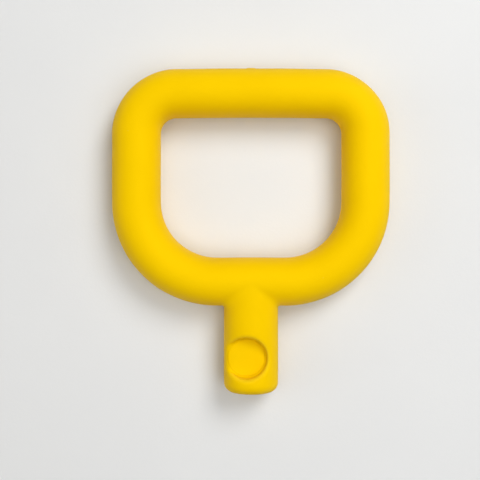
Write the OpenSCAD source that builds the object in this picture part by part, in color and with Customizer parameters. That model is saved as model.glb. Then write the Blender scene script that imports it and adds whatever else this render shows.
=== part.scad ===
// Soft loop pull handle: a D-shaped loop of round tube on a short oval stem.
// A stiff core with a moulded-in threaded insert is covered all over by a soft
// skin, apart from the stem's flat end and the floor of the round recess.
//
// The handle lies flat. +Z is up, +Y runs from the stem to the grip bar, and
// the origin is the centre of the bounding box at its lowest height.

/* [Loop] */

// Outside diameter of the covered tube
grip_d = 12.6; // [11.5:0.1:15]

// Width of the loop over both side bars
loop_w = 72.7; // [58:0.1:110]

// Height of the loop over the grip bar and the lower bar
loop_h = 62; // [52:0.1:90]

// Bend radius at the grip bar's two corners, on the tube's centre line
grip_bend_r = 10.4; // [9:0.1:13]

// Bend radius at the lower bar's two corners, on the tube's centre line
lower_bend_r = 21; // [14:0.1:22]

/* [Stem] */

// Length of the stem beyond the loop
stem_len = 22.6; // [18:0.1:40]

// Width of the oval stem
stem_w = 14.2; // [13.5:0.1:18]

// How far the stem's crown stays under the tube's crown
crown_step = 0.05; // [0.05:0.05:0.5]

// Rounding of the stem's end edge
end_round = 2.6; // [1:0.1:4]

/* [Recess] */

// Diameter of the round recess
recess_d = 10.5; // [7:0.1:12]

// Distance from the stem's end to the recess's centre
recess_from_end = 9.4; // [8.5:0.1:13]

// Shift of the recess to the left of the stem's axis
recess_shift = 1.2; // [0:0.05:1.5]

// Height of the core's round pad above the shank's flats
pad_lift = 0.2; // [0.1:0.05:0.6]

// Width of the skin's ledge round the pad in the recess's floor
pad_ledge = 0.3; // [0.1:0.05:1]

// Least skin left between the pad and the stem's side
pad_skin_t = 0.3; // [0.2:0.05:0.6]

/* [Core] */

// Thickness of the soft skin round the loop
skin_t = 2.75; // [1.5:0.05:3.5]

// Width of the core's shank between its rounded sides
shank_w = 9; // [7.5:0.1:10]

// Core left between the threaded insert and the shank's flats
insert_web = 0.7; // [0.4:0.05:1]

// Wall of the core's boss round the insert at the stem's end
boss_t = 0.6; // [0.3:0.05:0.7]

// Length of the boss, from the shank's shoulder to the stem's end
boss_len = 3; // [1:0.1:3.5]

// Diameter of the holes that the skin flows through to lock on the core
bond_hole_d = 2.2; // [1.5:0.1:3]

// Pitch of the bonding holes along a straight bar
bond_pitch = 12; // [8:0.5:20]

/* [Threaded insert] */

// Outside diameter of the insert
insert_d = 4.2; // [4:0.1:5]

// Length of the insert, with its closed inner end
insert_len = 8; // [6.5:0.5:12]

// Diameter of the tapped hole, at the thread's crests
thread_d = 2.5; // [2:0.1:2.8]

// Depth of the tapped hole
thread_len = 6.5; // [4:0.5:6.5]

// Width of the insert's retaining groove
groove_w = 1.6; // [1:0.1:3]

// Depth of the insert's retaining groove
groove_t = 0.4; // [0.2:0.05:0.5]

// Width of the countersink at the hole's mouth
mouth_t = 0.3; // [0.1:0.05:0.4]

/* [Hidden] */

$fn = 128;

soft_yellow = [0.99, 0.80, 0.02];
core_yellow = [0.97, 0.74, 0.03];
brass = [0.78, 0.62, 0.32];

past = 1;        // how far a cut runs past the face it opens
face_rim = 0.05; // flat skin left round the boss on the stem's end

// Core and insert
core_d = grip_d - 2 * skin_t;
shank_rise = insert_d / 2 + insert_web;
pad_rise = shank_rise + pad_lift;
boss_d = insert_d + 2 * boss_t;

// Stem and recess
stem_h = grip_d - 2 * crown_step;
stem_reach = stem_len + grip_d / 2;
end_r = min(end_round, stem_w / 2 * (1 - (boss_d + 2 * face_rim) / stem_h));
flank_x = stem_w / 2 * sqrt(1 - pow(2 * pad_rise / stem_h, 2));
pad_d = min(recess_d - 2 * pad_ledge, 2 * (flank_x - recess_shift - pad_skin_t));

// Centre line of the loop, and the straight bars between its bends
line_w = loop_w - grip_d;
line_h = loop_h - grip_d;
grip_bar = line_w - 2 * grip_bend_r;
lower_bar = line_w - 2 * lower_bend_r;
side_bar = line_h - grip_bend_r - lower_bend_r;

// Places in the part's own frame
axis_z = grip_d / 2;
end_y = -(loop_h + stem_len) / 2;
lower_y = end_y + stem_reach;
grip_y = lower_y + line_h;
recess_y = end_y + recess_from_end;

// A straight round bar of length len, centred on at and turned about Z
module bar(at, turn, len, d) {
    translate(at)
        rotate([0, 90, turn])
            cylinder(d = d, h = len, center = true);
}

// A quarter bend about the point at, from angle turn on
module bend(at, turn, r, d) {
    translate(at)
        rotate([0, 0, turn])
            rotate_extrude(angle = 90)
                translate([r, 0])
                    circle(d = d);
}

// The closed D-shaped loop of round tube
module loop(d) {
    side_y = lower_y + lower_bend_r + side_bar / 2;
    bar([0, grip_y, axis_z], 0, grip_bar, d);
    bar([0, lower_y, axis_z], 0, lower_bar, d);
    for (side = [-1, 1])
        bar([side * line_w / 2, side_y, axis_z], 90, side_bar, d);
    bend([grip_bar / 2, grip_y - grip_bend_r, axis_z], 0, grip_bend_r, d);
    bend([-grip_bar / 2, grip_y - grip_bend_r, axis_z], 90, grip_bend_r, d);
    bend([-lower_bar / 2, lower_y + lower_bend_r, axis_z], 180, lower_bend_r, d);
    bend([lower_bar / 2, lower_y + lower_bend_r, axis_z], 270, lower_bend_r, d);
}

// Turns a profile of radius against height about the stem's axis, with height
// 0 at from_y and growing towards the stem's end
module about_stem(from_y) {
    translate([0, from_y, axis_z])
        rotate([90, 0, 0])
            rotate_extrude()
                children();
}

// The stem's outside: a round bar with a rounded end edge, pressed to an oval
module stem() {
    translate([0, lower_y, axis_z])
        scale([1, 1, stem_h / stem_w])
            rotate([90, 0, 0])
                rotate_extrude()
                    union() {
                        square([stem_w / 2, stem_reach - end_r]);
                        square([stem_w / 2 - end_r, stem_reach]);
                        intersection() {
                            translate([stem_w / 2 - end_r, stem_reach - end_r])
                                circle(r = end_r);
                            square([stem_w / 2, stem_reach]);
                        }
                    }
}

// The space of the round recess, open upwards
module recess() {
    translate([-recess_shift, recess_y, axis_z + pad_rise])
        cylinder(d = recess_d, h = stem_h / 2 - pad_rise + past);
}

// The holes through the core's straight bars that the skin fills
module bond_holes() {
    module hole(x, y) {
        translate([x, y, axis_z - core_d])
            cylinder(d = bond_hole_d, h = 2 * core_d);
    }
    grip_n = floor(grip_bar / bond_pitch);
    side_n = floor(side_bar / bond_pitch);
    for (i = [0 : 1 : grip_n - 1])
        hole((i - (grip_n - 1) / 2) * bond_pitch, grip_y);
    for (side = [-1, 1], i = [0 : 1 : side_n - 1])
        hole(side * line_w / 2,
             lower_y + lower_bend_r + side_bar / 2 + (i - (side_n - 1) / 2) * bond_pitch);
}

// The core's round shank with a flat above and below, so that it can't turn in
// the skin, and the boss that runs on from it to the stem's end
module shank() {
    reach = stem_reach - boss_len;
    intersection() {
        about_stem(lower_y)
            square([shank_w / 2, reach]);
        translate([-shank_w, lower_y - reach - past, axis_z - shank_rise])
            cube([2 * shank_w, reach + 2 * past, 2 * shank_rise]);
    }
    about_stem(lower_y)
        square([boss_d / 2, stem_reach]);
}

// The core with its bonding holes, before the insert's pocket
module core_blank() {
    difference() {
        union() {
            loop(core_d);
            shank();
            translate([-recess_shift, recess_y, axis_z])
                cylinder(d = pad_d, h = pad_rise);
        }
        bond_holes();
    }
}

// The insert's outside, from its closed inner end to the stem's end
module insert_body() {
    about_stem(end_y + insert_len)
        polygon([
            [0, 0],
            [insert_d / 2, 0],
            [insert_d / 2, (insert_len - groove_w) / 2],
            [insert_d / 2 - groove_t, (insert_len - groove_w) / 2],
            [insert_d / 2 - groove_t, (insert_len + groove_w) / 2],
            [insert_d / 2, (insert_len + groove_w) / 2],
            [insert_d / 2, insert_len],
            [0, insert_len],
        ]);
}

module grip_cover() {
    color(soft_yellow)
        difference() {
            union() {
                loop(grip_d);
                stem();
            }
            recess();
            core_blank();
        }
}

module core_frame() {
    color(core_yellow)
        difference() {
            core_blank();
            insert_body();
        }
}

module thread_insert() {
    color(brass)
        difference() {
            insert_body();
            about_stem(end_y + thread_len)
                polygon([
                    [0, 0],
                    [thread_d / 2, 0],
                    [thread_d / 2, thread_len - mouth_t],
                    [thread_d / 2 + mouth_t + past, thread_len + past],
                    [0, thread_len + past],
                ]);
        }
}

grip_cover();
core_frame();
thread_insert();
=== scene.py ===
import bpy
import math
import numpy as np
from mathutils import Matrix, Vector


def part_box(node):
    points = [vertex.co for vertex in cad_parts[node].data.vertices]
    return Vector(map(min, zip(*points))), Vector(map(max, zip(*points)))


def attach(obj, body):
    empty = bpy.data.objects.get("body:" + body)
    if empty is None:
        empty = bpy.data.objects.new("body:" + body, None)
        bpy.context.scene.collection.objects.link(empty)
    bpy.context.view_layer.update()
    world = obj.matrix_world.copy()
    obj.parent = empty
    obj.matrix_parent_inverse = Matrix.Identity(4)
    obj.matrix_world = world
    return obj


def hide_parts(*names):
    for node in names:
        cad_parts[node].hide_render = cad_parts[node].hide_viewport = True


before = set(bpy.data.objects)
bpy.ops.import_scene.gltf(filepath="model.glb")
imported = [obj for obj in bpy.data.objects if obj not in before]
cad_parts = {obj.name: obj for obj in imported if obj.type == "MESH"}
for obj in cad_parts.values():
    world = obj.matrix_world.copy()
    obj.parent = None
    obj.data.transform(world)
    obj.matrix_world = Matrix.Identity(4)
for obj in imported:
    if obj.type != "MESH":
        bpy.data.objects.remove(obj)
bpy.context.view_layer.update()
scene = bpy.context.scene
mm = 0.001


def smoothStep(t):
    # 0 below 0, 1 above 1, an S curve between
    t = np.clip(t, 0, 1)
    return t * t * (3 - 2 * t)


def softMin(a, b, reach):
    # the smaller of a and b, rounded over where they differ by less than reach
    h = np.maximum(reach - np.abs(a - b), 0)
    return np.minimum(a, b) - h * h / (4 * np.maximum(reach, 1e-6))


def softMax(a, b, reach):
    return -softMin(-a, -b, reach)


def makePiece(name, points, faces, smooth=True):
    # points in millimetres in the row frame, faces as one or more integer arrays
    rows = []
    for block in faces:
        rows += block.tolist()
    mesh = bpy.data.meshes.new(name)
    mesh.from_pydata((points * mm).tolist(), [], rows)
    mesh.polygons.foreach_set("use_smooth", np.full(len(rows), smooth))
    mesh.update()
    piece = bpy.data.objects.new(name, mesh)
    scene.collection.objects.link(piece)
    return piece


def gridFaces(rows, cols, closed=True):
    # quads of a rows by cols grid of points, numbered row by row; closed joins the last column to the first
    r, c = np.meshgrid(np.arange(rows - 1), np.arange(cols if closed else cols - 1), indexing="ij")
    nextC = (c + 1) % cols
    this, above = r * cols, (r + 1) * cols
    return np.stack([this + c, this + nextC, above + nextC, above + c], -1).reshape(-1, 4)


coverShape = {
    "gripD": 12.6,          # diameter of the tube
    "loopW": 72.7,          # over both side bars
    "loopH": 62.0,          # over the grip bar and the lower bar
    "gripBendR": 10.4,      # on the tube's centre line
    "lowerBendR": 21.0,
    "stemLen": 22.6,        # beyond the loop
    "stemW": 14.2,
    "crownStep": 0.05,      # stem's crown under the tube's
    "endRound": 2.6,
    "recessD": 10.5,
    "recessFromEnd": 9.4,
    "recessShift": 1.2,
    "floorRise": 3.0,       # recess's floor above the stem's axis
    "floorStep": 0.03,      # skin stands this far over the pad
    "junctionReach": 2.8,   # softness of the corner between stem and loop, on the crown's side
    "junctionShare": 0.2,   # share of it left at mid-height, where the corner is sharper
    "rimReach": 1.5,        # softness of the recess's rim
    "floorReach": 0.7,      # softness of the corner round its floor
    "gripBow": 0.4,         # how far the grip bar's ends lie lower than its middle
    "gripSwell": 0.13,      # extra radius of the grip bar
    "leftSwell": 0.1,       # extra radius of the left side bar
    "partingRise": 0.05,    # witness line of the mould halves
    "partingHalf": 0.16,    # half its width
    "gateRise": 0.25,       # gate mark in the middle of the grip bar's back
    "gateHalf": 1.3,        # half its width, and half its height
    "gateHalfZ": 0.7,
    "wavyDepth": 0.035,     # slow unevenness of a soft moulding
    "wavyPitch": 17.0,
    "cell": 0.5,            # mesh cell, and the finer ones at the stem, the recess and the parting line
    "stemCell": 0.36,
    "fineCell": 0.26,
    "seamCell": 0.13,
}


def coverPlaces(s):
    # lengths that follow from the shape's sizes, in millimetres, with z measured from the mid-plane
    lo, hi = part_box("grip_cover")
    p = dict(s)
    p["tubeR"] = s["gripD"] / 2
    p["midZ"] = (lo.z + hi.z) / 2 / mm
    p["endY"] = lo.y / mm
    p["topY"] = hi.y / mm
    p["lowerY"] = p["endY"] + s["stemLen"] + p["tubeR"]
    p["gripY"] = p["topY"] - p["tubeR"]
    p["halfW"] = (s["loopW"] - s["gripD"]) / 2
    p["halfH"] = (p["gripY"] - p["lowerY"]) / 2
    p["centreY"] = (p["gripY"] + p["lowerY"]) / 2
    p["stemA"] = s["stemW"] / 2
    p["stemB"] = p["tubeR"] - s["crownStep"]
    p["recessY"] = p["endY"] + s["recessFromEnd"]
    return p


def outlineDistance(x, y, p):
    # signed distance in the plane from the loop's centre line: a box's distance with two corner radii
    up = y > p["centreY"]
    r = np.where(up, p["gripBendR"], p["lowerBendR"])
    qx = np.abs(x) - p["halfW"] + r
    qy = np.abs(y - p["centreY"]) - p["halfH"] + r
    return np.minimum(np.maximum(qx, qy), 0) + np.hypot(np.maximum(qx, 0), np.maximum(qy, 0)) - r


def stemDistance(x, y, z, p):
    # a round bar with a rounded end edge, flattened to an oval; the slope is evened out on its flank
    zz = z * p["stemA"] / p["stemB"]
    rho = np.hypot(x, zz)
    steep = np.sqrt(x ** 2 + (zz * p["stemA"] / p["stemB"]) ** 2) / np.maximum(rho, 1e-6)
    qs = rho - p["stemA"] + p["endRound"]
    qe = p["endY"] - y + p["endRound"]
    bar = np.minimum(np.maximum(qs, qe), 0) + np.hypot(np.maximum(qs, 0), np.maximum(qe, 0)) - p["endRound"]
    bar = np.maximum(bar, y - p["lowerY"])
    return bar / np.where(rho < 0.5, 1, steep)


def coverField(points, p):
    # negative inside the cover, positive outside, about the distance to its surface in millimetres
    x, y, z = points
    bow = p["gripBow"] * smoothStep((y - p["centreY"]) / p["halfH"]) * (x / p["halfW"]) ** 2
    flat = outlineDistance(x, y + bow, p)
    swell = np.maximum(p["gripSwell"] * smoothStep((y - p["gripY"] + 9) / 6),
                       p["leftSwell"] * smoothStep((-x - 20) / 6))
    tube = np.hypot(flat, z * (1 + swell / p["tubeR"])) - p["tubeR"] - swell
    stem = stemDistance(x, y, z, p)
    # where the two surfaces face the same way, on the crown, the corner needs no softening
    a = np.maximum(np.hypot(np.maximum(p["lowerY"] - y, 0), z), 1e-6)
    zz = z * (p["stemA"] / p["stemB"]) ** 2
    b = np.maximum(np.hypot(x, zz), 1e-6)
    turned = 1 - np.clip(z * zz / (a * b), 0, 1)
    raised = smoothStep((np.abs(z) - 0.5) / 3.5)
    share = p["junctionShare"] + (1 - p["junctionShare"]) * raised
    body = softMin(tube, stem, p["junctionReach"] * turned * share)
    # recess: a round space over a flat floor, with soft corners
    fromRecess = np.hypot(x + p["recessShift"], y - p["recessY"])
    wall = fromRecess - p["recessD"] / 2
    space = softMax(wall, p["floorRise"] + p["floorStep"] - z, p["floorReach"])
    body = softMax(body, -space, p["rimReach"])
    # slow unevenness, away from the recess and the end face
    k = 2 * math.pi / p["wavyPitch"]
    wavy = np.sin(k * x + 1.3) * np.sin(k * 0.83 * y + 0.4)
    wavy += 0.6 * np.sin(k * 1.19 * (x + y) + 2.1) * np.cos(k * z)
    calm = smoothStep((y - p["endY"] - 1) / 6) * smoothStep((fromRecess - 4) / 6)
    body = body + p["wavyDepth"] * (0.5 + 0.5 * wavy) * calm
    # mould's parting line and gate mark, both on the mid-plane
    ridge = np.maximum(1 - np.abs(z) / p["partingHalf"], 0) * smoothStep((y - p["endY"] - 2) / 4)
    gate = np.exp(-(x / p["gateHalf"]) ** 6 - (z / p["gateHalfZ"]) ** 4) * smoothStep((y - p["gripY"]) / 3)
    return body - p["partingRise"] * ridge - p["gateRise"] * gate


def unevenAxis(lo, hi, coarse, spans):
    # grid lines from lo to hi, with a smaller step inside each span (from, to, step)
    lines, at = [lo], lo
    while at < hi:
        step = coarse
        for a, b, fine in spans:
            if a <= at < b:
                step = min(step, fine)
        at += step
        lines.append(at)
    return np.array(lines)


def surfaceNet(field, xs, ys, zs):
    # one point in each grid cell that the surface crosses, at the mean of its edges' crossings,
    # and one quad round each grid edge that the surface crosses
    gx, gy, gz = np.meshgrid(xs, ys, zs, indexing="ij")
    f = field((gx, gy, gz))
    f[f == 0] = 1e-9
    grid = np.stack([gx, gy, gz])
    nx, ny, nz = f.shape
    total = np.zeros((3, nx - 1, ny - 1, nz - 1))
    count = np.zeros((nx - 1, ny - 1, nz - 1))
    quads = []
    inside = f < 0
    shape = (nx, ny, nz)
    crossings = []
    for axis in range(3):
        a = [slice(None)] * 3
        b = [slice(None)] * 3
        a[axis], b[axis] = slice(0, -1), slice(1, None)
        a, b = tuple(a), tuple(b)
        cut = inside[a] != inside[b]
        t = f[a] / np.where(cut, f[a] - f[b], 1)
        at = grid[(slice(None),) + a] * (1 - t) + grid[(slice(None),) + b] * t
        at = np.where(cut, at, 0)
        u, v = [i for i in range(3) if i != axis]
        for du in (0, 1):
            for dv in (0, 1):
                # the edge at index i along u belongs to the cells i - 1 and i
                src = [slice(None)] * 3
                src[u] = slice(du, shape[u] - 1 + du)
                src[v] = slice(dv, shape[v] - 1 + dv)
                src = tuple(src)
                total += at[(slice(None),) + src]
                count += cut[src]
        crossings.append((axis, u, v, cut, inside[a]))
    used = count > 0
    number = np.full(used.shape, -1)
    number[used] = np.arange(used.sum())
    points = (total[:, used] / count[used]).T
    for axis, u, v, cut, startInside in crossings:
        i = np.array(np.nonzero(cut))
        away = startInside[cut]
        keep = (i[u] > 0) & (i[v] > 0) & (i[u] < shape[u] - 1) & (i[v] < shape[v] - 1)
        i, away = i[:, keep], away[keep]
        ring = []
        for du, dv in ((1, 1), (0, 1), (0, 0), (1, 0)):
            j = i.copy()
            j[u] -= du
            j[v] -= dv
            ring.append(number[tuple(j)])
        ring = np.stack(ring, -1)
        flip = away if (v - u) % 3 == 1 else ~away
        ring[~flip] = ring[~flip][:, ::-1]
        quads.append(ring)
    return points, np.concatenate(quads)


def slope(field, points, step=0.02):
    # the field's steepest direction by central differences
    parts = []
    for axis in range(3):
        shift = np.zeros(3)
        shift[axis] = step
        parts.append((field((points + shift).T) - field((points - shift).T)) / (2 * step))
    return np.stack(parts, -1)


def settle(field, points, faces, rounds=3, evening=2):
    # evens out the points along the surface, and after each round drops them back onto it
    pairs = np.concatenate([faces[:, [0, 1]], faces[:, [1, 2]], faces[:, [2, 3]], faces[:, [3, 0]]])
    n = len(points)
    degree = np.bincount(pairs[:, 0], minlength=n) + np.bincount(pairs[:, 1], minlength=n)
    for turn in range(rounds + evening):
        if turn < evening:
            sums = [np.bincount(pairs[:, 0], points[pairs[:, 1], c], n)
                    + np.bincount(pairs[:, 1], points[pairs[:, 0], c], n) for c in range(3)]
            points = points + 0.5 * (np.stack(sums, -1) / degree[:, None] - points)
        g = slope(field, points)
        move = field(points.T)[:, None] * g / np.maximum((g ** 2).sum(-1, keepdims=True), 0.05)
        points = points - np.clip(move, -0.2, 0.2)
    return points


def buildCover(s):
    # the grid starts a little off whole cells, so that no grid line lies on a flat face
    p = coverPlaces(s)

    def field(at):
        return coverField(at, p)

    cell, stem, fine, seam = s["cell"], s["stemCell"], s["fineCell"], s["seamCell"]
    rimX = (-p["stemA"] - 0.6, s["recessD"] / 2 - s["recessShift"] + 1.2)
    xs = unevenAxis(-s["loopW"] / 2 - 1.03, s["loopW"] / 2 + 1, cell, [
        (rimX[0], rimX[1], fine), (-8.5, 8.5, stem)])
    ys = unevenAxis(p["endY"] - 1.03, p["topY"] + 1, cell, [
        (p["recessY"] - s["recessD"] / 2 - 1.2, p["recessY"] + s["recessD"] / 2 + 1.2, fine),
        (p["endY"] - 1.1, p["recessY"], stem),
        (p["lowerY"] - p["tubeR"] - 3, p["lowerY"] + 1, stem)])
    zs = unevenAxis(-p["tubeR"] - 1.03, p["tubeR"] + 1, cell, [
        (-0.5, 0.5, seam), (s["floorRise"] - 0.8, p["tubeR"] + 0.3, fine * 1.3)])
    points, faces = surfaceNet(field, xs, ys, zs)
    points = settle(field, points, faces)
    points[:, 2] += p["midZ"]
    cover = makePiece("gripCover", points, [faces])
    print("cover net:", len(points), "points,", len(faces), "quads")
    return cover, p


def cylinderPiece(name, at, along, r, length, sides=96):
    # a closed cylinder from the point at, running length along the given direction
    along = np.array(along, float)
    side = np.array([1.0, 0, 0]) if abs(along[0]) < 0.5 else np.array([0, 1.0, 0])
    other = np.cross(along, side)
    turn = np.arange(sides) * 2 * math.pi / sides
    ring = np.outer(np.cos(turn), side) + np.outer(np.sin(turn), other)
    at = np.array(at, float)
    points = np.concatenate([at + r * ring, at + along * length + r * ring])
    walls = gridFaces(2, sides)
    caps = [np.arange(sides)[::-1][None], (np.arange(sides) + sides)[None]]
    return makePiece(name, points, [walls] + caps, smooth=False)


def cleanCopy(node, name):
    # the CAD node's triangles with their shared corners joined, as a new object
    copy = bpy.data.objects.new(name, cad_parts[node].data.copy())
    scene.collection.objects.link(copy)
    weld = copy.modifiers.new("weld", "WELD")
    weld.merge_threshold = 1e-6
    return copy


def carve(piece, cutter):
    # cuts cutter out of piece and keeps the result as piece's mesh
    cut = piece.modifiers.new("carve", "BOOLEAN")
    cut.operation, cut.solver, cut.object = "DIFFERENCE", "MANIFOLD", cutter
    bpy.context.view_layer.update()
    made = bpy.data.meshes.new_from_object(piece.evaluated_get(bpy.context.evaluated_depsgraph_get()))
    piece.modifiers.clear()
    old, piece.data = piece.data, made
    bpy.data.meshes.remove(old)
    bpy.data.objects.remove(cutter)
    made.name = piece.name


coreRoom = {
    "gap": 0.03,            # between skin and core where the seam shows
    "padLedge": 0.3,        # skin round the pad in the recess's floor
    "padSkin": 0.3,         # least skin between the pad and the stem's side
    "padSink": 0.15,        # the seam round the pad goes this far below the floor
    "bossR": 2.7,           # boss round the insert at the stem's end
    "bossSink": 0.3,        # the seam round the boss goes this deep
    "plugR": 2.3,           # clears the skin from the insert's pocket
    "plugLen": 8.1,
    "past": 1.0,            # how far a cut runs past the face it opens
}


def hollowCover(cover, p, room):
    flank = p["stemA"] * math.sqrt(1 - (p["floorRise"] / p["stemB"]) ** 2)
    padR = min(p["recessD"] / 2 - room["padLedge"], flank - p["recessShift"] - room["padSkin"])
    floorZ = p["midZ"] + p["floorRise"]
    carve(cover, cleanCopy("core_frame", "coreCutter"))
    carve(cover, cylinderPiece("plugCutter", (0, p["endY"] + room["plugLen"], p["midZ"]), (0, -1, 0),
                               room["plugR"], room["plugLen"] + room["past"]))
    carve(cover, cylinderPiece("padCutter", (-p["recessShift"], p["recessY"], floorZ - room["padSink"]),
                               (0, 0, 1), padR + room["gap"], p["stemB"]))
    carve(cover, cylinderPiece("bossCutter", (0, p["endY"] + room["bossSink"], p["midZ"]), (0, -1, 0),
                               room["bossR"] + room["gap"], room["bossSink"] + room["past"]))
    cover.data.set_sharp_from_angle(angle=math.radians(50))
    print("cover hollowed:", len(cover.data.vertices), "points,", len(cover.data.polygons), "faces")


wearShape = {
    "outward": 0.25,        # the worn ring lies this far outside the recess's wall
    "width": 0.5,
    "lowest": 3.6,          # above the stem's axis
    "amount": 0.5,
}


def markWear(cover, p, s):
    # how worn the skin is at each point, greatest along the recess's rim
    at = np.zeros(len(cover.data.vertices) * 3, np.float32)
    cover.data.vertices.foreach_get("co", at)
    x, y, z = at.reshape(-1, 3).T / mm
    fromRim = np.hypot(x + p["recessShift"], y - p["recessY"]) - p["recessD"] / 2 - s["outward"]
    wear = s["amount"] * np.exp(-(fromRim / s["width"]) ** 2) * (z > p["midZ"] + s["lowest"])
    layer = cover.data.attributes.new("wear", "FLOAT", "POINT")
    layer.data.foreach_set("value", wear.astype(np.float32))


insertShape = {
    "bodyR": 2.1, "length": 8.0,
    "boreR": 1.25, "boreLen": 6.5, "threadRootR": 1.5, "pitch": 0.5,
    "mouthR": 1.6,          # countersink, and how deep it goes
    "mouthDepth": 0.3,
    "drillPoint": 0.5,      # the bore's floor is a cone this deep
    "grooveHalf": 0.8, "grooveDepth": 0.4,
    "knurlDepth": 0.1, "knurlCount": 28,
    "edge": 0.15,           # bevel of the outer edges
    "sides": 112,
}


def buildInsert(s, p):
    # radius against height from the closed end, carried round the axis: outside with knurled bands and a
    # groove, end face, countersink, then down the bore with a triangular thread that climbs one pitch a turn
    mid, e = s["length"] / 2, s["edge"]
    outY = np.unique(np.concatenate([np.linspace(e, s["length"] - e, 33),
                                     [mid - s["grooveHalf"] - 0.02, mid - s["grooveHalf"] + 0.02,
                                      mid + s["grooveHalf"] - 0.02, mid + s["grooveHalf"] + 0.02]]))
    inY = np.linspace(s["length"] - s["mouthDepth"], s["length"] - s["boreLen"], 112)
    turn = np.arange(s["sides"]) * 2 * math.pi / s["sides"]
    y, t = np.meshgrid(outY, turn, indexing="ij")
    groove = (np.abs(y - mid) < s["grooveHalf"]) * s["grooveDepth"]
    knurl = s["knurlDepth"] * (0.5 + 0.5 * np.cos(s["knurlCount"] * t + 3.0 * (y - mid)))
    bands = smoothStep((np.minimum(y, s["length"] - y) - 0.5) / 0.3) * (groove == 0)
    outR = s["bodyR"] - groove - knurl * bands
    yi, ti = np.meshgrid(inY, turn, indexing="ij")
    phase = (yi / s["pitch"] - ti / (2 * math.pi)) % 1
    tooth = 1 - np.abs(2 * phase - 1)
    fade = smoothStep((yi - s["length"] + s["boreLen"]) / 0.8)
    inR = s["boreR"] + (s["threadRootR"] - s["boreR"]) * np.clip(tooth * 1.25 - 0.1, 0, 1) * fade
    full = np.ones(s["sides"])
    radii = np.vstack([full * (s["bodyR"] - e), outR, full * (s["bodyR"] - e), full * s["mouthR"], inR])
    heights = np.concatenate([[0], outY, [s["length"], s["length"]], inY])
    x = radii * np.cos(turn)
    z = radii * np.sin(turn)
    rows = len(heights)
    closedY = p["endY"] + s["length"]
    y = np.repeat((closedY - heights)[:, None], s["sides"], 1)
    ring = np.stack([x, y, z + p["midZ"]], -1)
    # the middles of the closed end and of the bore's drilled floor
    middles = [[0, closedY, p["midZ"]], [0, closedY - inY[-1] + s["drillPoint"], p["midZ"]]]
    points = np.concatenate([ring.reshape(-1, 3), middles])
    c = np.arange(s["sides"])
    nextC = (c + 1) % s["sides"]
    last = (rows - 1) * s["sides"]
    caps = [np.stack([nextC, c, np.full(s["sides"], rows * s["sides"])], -1),
            np.stack([last + c, last + nextC, np.full(s["sides"], rows * s["sides"] + 1)], -1)]
    insert = makePiece("threadInsert", points, [gridFaces(rows, s["sides"])] + caps)
    insert.data.set_sharp_from_angle(angle=math.radians(35))
    print("insert:", len(points), "points")
    return insert


def newGroup(name, inputs, outputs):
    group = bpy.data.node_groups.new(name, "ShaderNodeTree")
    for label, kind, value in inputs:
        socket = group.interface.new_socket(label, in_out="INPUT", socket_type=kind)
        if value is not None:
            socket.default_value = value
    for label, kind in outputs:
        group.interface.new_socket(label, in_out="OUTPUT", socket_type=kind)
    start = group.nodes.new("NodeGroupInput")
    end = group.nodes.new("NodeGroupOutput")
    return group, start, end


def addNode(tree, kind, values=(), **settings):
    node = tree.nodes.new(kind)
    for key, value in settings.items():
        setattr(node, key, value)
    for key, value in dict(values).items():
        node.inputs[key].default_value = value
    return node


def wire(tree, *pairs):
    for source, target in pairs:
        tree.links.new(source, target)


def makeMouldGrain():
    # a fine pebbled height with a slower swell under it
    group, start, end = newGroup("mouldGrain", [
        ("Vector", "NodeSocketVector", None), ("Grain Size", "NodeSocketFloat", 0.0003),
        ("Swell", "NodeSocketFloat", 0.3)], [("Height", "NodeSocketFloat")])
    inverse = addNode(group, "ShaderNodeMath", {0: 1.0}, operation="DIVIDE")
    fine = addNode(group, "ShaderNodeTexNoise", {"Detail": 3.0, "Roughness": 0.6}, noise_dimensions="3D")
    pebble = addNode(group, "ShaderNodeTexVoronoi", {"Randomness": 0.9}, feature="SMOOTH_F1")
    slow = addNode(group, "ShaderNodeTexNoise", {"Scale": 260.0, "Detail": 1.0})
    both = addNode(group, "ShaderNodeMath", operation="ADD")
    swell = addNode(group, "ShaderNodeMath", operation="MULTIPLY")
    total = addNode(group, "ShaderNodeMath", operation="ADD")
    wire(group, (start.outputs["Grain Size"], inverse.inputs[1]),
         (start.outputs["Vector"], fine.inputs["Vector"]), (inverse.outputs[0], fine.inputs["Scale"]),
         (start.outputs["Vector"], pebble.inputs["Vector"]), (inverse.outputs[0], pebble.inputs["Scale"]),
         (start.outputs["Vector"], slow.inputs["Vector"]),
         (fine.outputs["Fac"], both.inputs[0]), (pebble.outputs["Distance"], both.inputs[1]),
         (slow.outputs["Fac"], swell.inputs[0]), (start.outputs["Swell"], swell.inputs[1]),
         (both.outputs[0], total.inputs[0]), (swell.outputs[0], total.inputs[1]),
         (total.outputs[0], end.inputs["Height"]))
    return group


def makeToneDrift():
    # slow cloudy change from 0 to 1, as in a pigmented moulding
    group, start, end = newGroup("toneDrift", [
        ("Vector", "NodeSocketVector", None), ("Patch Size", "NodeSocketFloat", 0.02),
        ("Amount", "NodeSocketFloat", 1.0)], [("Tone", "NodeSocketFloat")])
    inverse = addNode(group, "ShaderNodeMath", {0: 1.0}, operation="DIVIDE")
    cloud = addNode(group, "ShaderNodeTexNoise", {"Detail": 4.0, "Roughness": 0.55, "Distortion": 0.4})
    spread = addNode(group, "ShaderNodeMapRange", {"From Min": 0.32, "From Max": 0.68})
    amount = addNode(group, "ShaderNodeMath", operation="MULTIPLY")
    wire(group, (start.outputs["Patch Size"], inverse.inputs[1]),
         (start.outputs["Vector"], cloud.inputs["Vector"]),
         (inverse.outputs[0], cloud.inputs["Scale"]), (cloud.outputs["Fac"], spread.inputs["Value"]),
         (spread.outputs["Result"], amount.inputs[0]), (start.outputs["Amount"], amount.inputs[1]),
         (amount.outputs[0], end.inputs["Tone"]))
    return group


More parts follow.
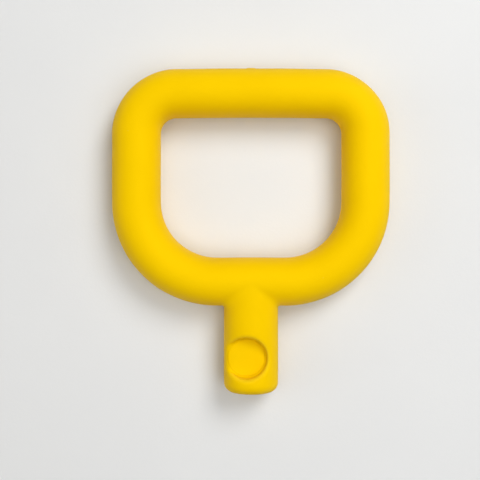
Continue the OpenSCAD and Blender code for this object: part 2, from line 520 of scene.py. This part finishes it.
def makeSoftDust():
    # sparse small specks, each a soft dot at a random point
    group, start, end = newGroup("softDust", [
        ("Vector", "NodeSocketVector", None), ("Spacing", "NodeSocketFloat", 0.004),
        ("Speck Size", "NodeSocketFloat", 0.05), ("Share", "NodeSocketFloat", 0.3)],
        [("Mask", "NodeSocketFloat")])
    inverse = addNode(group, "ShaderNodeMath", {0: 1.0}, operation="DIVIDE")
    cells = addNode(group, "ShaderNodeTexVoronoi", {"Randomness": 1.0}, feature="F1")
    dot = addNode(group, "ShaderNodeMapRange", {"From Min": 0.0, "To Min": 1.0, "To Max": 0.0},
                  interpolation_type="SMOOTHSTEP")
    tint = addNode(group, "ShaderNodeSeparateColor")
    some = addNode(group, "ShaderNodeMath", operation="LESS_THAN")
    both = addNode(group, "ShaderNodeMath", operation="MULTIPLY")
    wire(group, (start.outputs["Spacing"], inverse.inputs[1]),
         (start.outputs["Vector"], cells.inputs["Vector"]),
         (inverse.outputs[0], cells.inputs["Scale"]),
         (cells.outputs["Distance"], dot.inputs["Value"]),
         (start.outputs["Speck Size"], dot.inputs["From Max"]), (cells.outputs["Color"], tint.inputs["Color"]),
         (tint.outputs["Red"], some.inputs[0]), (start.outputs["Share"], some.inputs[1]),
         (dot.outputs["Result"], both.inputs[0]), (some.outputs[0], both.inputs[1]),
         (both.outputs[0], end.inputs["Mask"]))
    return group


mouldGrain, toneDrift, softDust = makeMouldGrain(), makeToneDrift(), makeSoftDust()


def placeGroup(tree, group, vector, **values):
    node = tree.nodes.new("ShaderNodeGroup")
    node.node_tree = group
    for key, value in values.items():
        node.inputs[key.replace("_", " ")].default_value = value
    tree.links.new(vector, node.inputs["Vector"])
    return node


def startMaterial(name):
    material = bpy.data.materials.new(name)
    material.use_nodes = True
    tree = material.node_tree
    shader = tree.nodes["Principled BSDF"]
    place = tree.nodes.new("ShaderNodeTexCoord").outputs["Object"]
    return material, tree, shader, place


def mixColours(tree, factor, first, second):
    # first and second are colours or sockets
    mix = tree.nodes.new("ShaderNodeMix")
    mix.data_type = "RGBA"
    for socket, value in ((mix.inputs[6], first), (mix.inputs[7], second)):
        if isinstance(value, bpy.types.NodeSocket):
            tree.links.new(value, socket)
        else:
            socket.default_value = (*value, 1)
    if isinstance(factor, bpy.types.NodeSocket):
        tree.links.new(factor, mix.inputs[0])
    else:
        mix.inputs[0].default_value = factor
    return mix.outputs[2]


skinFinish = {
    "base": (0.96, 0.605, 0.0), "deep": (0.91, 0.565, 0.0), "worn": (0.98, 0.66, 0.02),
    "dust": (0.95, 0.80, 0.35), "roughness": 0.6, "specular": 0.25, "tint": (1.0, 0.72, 0.05),
    "grainSize": 0.00035, "grainDepth": 0.00003,
}


def skinMaterial(s):
    material, tree, shader, place = startMaterial("softYellowSkin")
    drift = placeGroup(tree, toneDrift, place, Patch_Size=0.025, Amount=0.7)
    colour = mixColours(tree, drift.outputs["Tone"], s["base"], s["deep"])
    wear = addNode(tree, "ShaderNodeAttribute", attribute_name="wear")
    colour = mixColours(tree, wear.outputs["Fac"], colour, s["worn"])
    specks = placeGroup(tree, softDust, place, Spacing=0.0035, Speck_Size=0.045, Share=0.22)
    faint = addNode(tree, "ShaderNodeMath", {1: 0.35}, operation="MULTIPLY")
    wire(tree, (specks.outputs["Mask"], faint.inputs[0]))
    colour = mixColours(tree, faint.outputs[0], colour, s["dust"])
    grain = placeGroup(tree, mouldGrain, place, Grain_Size=s["grainSize"], Swell=0.5)
    bump = addNode(tree, "ShaderNodeBump", {"Strength": 0.5, "Distance": s["grainDepth"]})
    rough = addNode(tree, "ShaderNodeMapRange", {
        "To Min": s["roughness"] - 0.06, "To Max": s["roughness"] + 0.06})
    wire(tree, (colour, shader.inputs["Base Color"]), (grain.outputs["Height"], bump.inputs["Height"]),
         (bump.outputs["Normal"], shader.inputs["Normal"]), (drift.outputs["Tone"], rough.inputs["Value"]),
         (rough.outputs["Result"], shader.inputs["Roughness"]))
    shader.inputs["Specular IOR Level"].default_value = s["specular"]
    shader.inputs["Specular Tint"].default_value = (*s["tint"], 1)
    return material


coreFinish = {
    "base": (0.95, 0.595, 0.0), "deep": (0.90, 0.55, 0.0), "roughness": 0.5, "specular": 0.3,
    "tint": (1.0, 0.72, 0.05),
}


def coreMaterial(s):
    material, tree, shader, place = startMaterial("yellowNylonCore")
    drift = placeGroup(tree, toneDrift, place, Patch_Size=0.012, Amount=0.8)
    colour = mixColours(tree, drift.outputs["Tone"], s["base"], s["deep"])
    grain = placeGroup(tree, mouldGrain, place, Grain_Size=0.0002, Swell=0.2)
    bump = addNode(tree, "ShaderNodeBump", {"Strength": 0.4, "Distance": 0.00002})
    rough = addNode(tree, "ShaderNodeMapRange", {
        "To Min": s["roughness"] - 0.08, "To Max": s["roughness"] + 0.08})
    wire(tree, (colour, shader.inputs["Base Color"]), (grain.outputs["Height"], bump.inputs["Height"]),
         (bump.outputs["Normal"], shader.inputs["Normal"]), (drift.outputs["Tone"], rough.inputs["Value"]),
         (rough.outputs["Result"], shader.inputs["Roughness"]))
    shader.inputs["Specular IOR Level"].default_value = s["specular"]
    shader.inputs["Specular Tint"].default_value = (*s["tint"], 1)
    return material


brassFinish = {"base": (0.83, 0.62, 0.27), "dull": (0.60, 0.42, 0.18), "roughness": 0.28}


def brassMaterial(s):
    material, tree, shader, place = startMaterial("turnedBrass")
    drift = placeGroup(tree, toneDrift, place, Patch_Size=0.002, Amount=0.6)
    colour = mixColours(tree, drift.outputs["Tone"], s["base"], s["dull"])
    turning = addNode(tree, "ShaderNodeTexWave", {"Scale": 2600.0, "Distortion": 1.5, "Detail": 2.0},
                      wave_type="RINGS", rings_direction="Y")
    bump = addNode(tree, "ShaderNodeBump", {"Strength": 0.3, "Distance": 0.00001})
    rough = addNode(tree, "ShaderNodeMapRange", {"To Min": s["roughness"], "To Max": s["roughness"] + 0.18})
    wire(tree, (place, turning.inputs["Vector"]), (turning.outputs["Fac"], bump.inputs["Height"]),
         (bump.outputs["Normal"], shader.inputs["Normal"]), (colour, shader.inputs["Base Color"]),
         (drift.outputs["Tone"], rough.inputs["Value"]), (rough.outputs["Result"], shader.inputs["Roughness"]))
    shader.inputs["Metallic"].default_value = 1.0
    return material


paperFinish = {
    "base": (0.80, 0.80, 0.79), "shade": (0.77, 0.77, 0.765), "speck": (0.55, 0.53, 0.5),
    "roughness": 0.85, "specular": 0.1,
}


def paperMaterial(s):
    material, tree, shader, place = startMaterial("whitePaper")
    drift = placeGroup(tree, toneDrift, place, Patch_Size=0.05, Amount=0.6)
    colour = mixColours(tree, drift.outputs["Tone"], s["base"], s["shade"])
    specks = placeGroup(tree, softDust, place, Spacing=0.012, Speck_Size=0.02, Share=0.3)
    faint = addNode(tree, "ShaderNodeMath", {1: 0.4}, operation="MULTIPLY")
    wire(tree, (specks.outputs["Mask"], faint.inputs[0]))
    colour = mixColours(tree, faint.outputs[0], colour, s["speck"])
    grain = placeGroup(tree, mouldGrain, place, Grain_Size=0.0006, Swell=1.0)
    bump = addNode(tree, "ShaderNodeBump", {"Strength": 0.25, "Distance": 0.00005})
    wire(tree, (colour, shader.inputs["Base Color"]), (grain.outputs["Height"], bump.inputs["Height"]),
         (bump.outputs["Normal"], shader.inputs["Normal"]))
    shader.inputs["Roughness"].default_value = s["roughness"]
    shader.inputs["Specular IOR Level"].default_value = s["specular"]
    return material


stageShape = {
    "eyeHeight": 200.0,     # above the mid-plane, looking straight down
    "eyeX": -2.88,
    "eyeAboveLower": 10.91, # towards the grip bar from the lower bar's centre line
    "lens": 57.12, "sensor": 36.0, "nearest": 0.005, "farthest": 10.0,
    "floorHalf": 900.0, "floorDrop": 0.02,
    "fill": 0.03, "fillTint": (0.96, 0.98, 1.0),
    "lightDistance": 600.0, "lightPower": 4.1,
    "coolTint": (0.985, 0.99, 1.0), "warmTint": (1.0, 0.97, 0.90),
    # name: compass angle from +X, height angle, width of the disc, share of the power, tint
    "lights": {
        "key": (52, 50, 320, 0.50, "coolTint"),
        "overhead": (0, 90, 600, 0.28, "coolTint"),
        "rightWindow": (315, 60, 400, 0.18, "coolTint"),
        "rightWall": (0, 50, 500, 0.08, "coolTint"),
        "leftWall": (180, 20, 500, 0.12, "warmTint"),
        "leftWindow": (180, 50, 500, 0.09, "warmTint"),
    },
}


def addFloor(s):
    half, low = s["floorHalf"], -s["floorDrop"]
    corners = np.array([[x * half, y * half, low] for x, y in ((-1, -1), (1, -1), (1, 1), (-1, 1))])
    floor = makePiece("paperFloor", corners, [np.array([[0, 1, 2, 3]])], smooth=False)
    floor.data.materials.append(paperMaterial(paperFinish))


def addEye(s, p):
    eye = bpy.data.objects.new("eye", bpy.data.cameras.new("eye"))
    scene.collection.objects.link(eye)
    place = (s["eyeX"], p["lowerY"] + s["eyeAboveLower"], p["midZ"] + s["eyeHeight"])
    eye.location = Vector(place) * mm
    eye.data.lens, eye.data.sensor_width = s["lens"], s["sensor"]
    eye.data.clip_start, eye.data.clip_end = s["nearest"], s["farthest"]
    scene.camera = eye


def addFill(s):
    world = bpy.data.worlds.new("roomFill")
    world.use_nodes = True
    background = world.node_tree.nodes["Background"]
    background.inputs["Color"].default_value = (*s["fillTint"], 1)
    background.inputs["Strength"].default_value = s["fill"]
    scene.world = world


def addLight(s, name, compass, height, width, share, tint):
    # a disc that faces the origin from the given direction
    lamp = bpy.data.objects.new(name, bpy.data.lights.new(name, "AREA"))
    lamp.data.shape, lamp.data.size = "DISK", width * mm
    lamp.data.energy, lamp.data.color = share * s["lightPower"], s[tint]
    c, h = math.radians(compass), math.radians(height)
    toward = Vector((math.cos(c) * math.cos(h), math.sin(c) * math.cos(h), math.sin(h)))
    lamp.location = toward * s["lightDistance"] * mm
    lamp.rotation_mode = "QUATERNION"
    lamp.rotation_quaternion = toward.to_track_quat("Z", "Y")
    scene.collection.objects.link(lamp)


def buildStage(s, p):
    addFloor(s)
    addEye(s, p)
    addFill(s)
    for name, values in s["lights"].items():
        addLight(s, name, *values)
    scene.view_settings.view_transform = "Standard"


cover, places = buildCover(coverShape)
hollowCover(cover, places, coreRoom)
markWear(cover, places, wearShape)
cover.data.materials.clear()
cover.data.materials.append(skinMaterial(skinFinish))
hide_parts("grip_cover")
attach(cover, "root")

insert = buildInsert(insertShape, places)
insert.data.materials.append(brassMaterial(brassFinish))
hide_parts("thread_insert")
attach(insert, "root")

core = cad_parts["core_frame"]
core.data.materials.clear()
core.data.materials.append(coreMaterial(coreFinish))
print("materials placed")

buildStage(stageShape, places)
print("stage, camera and lights placed")
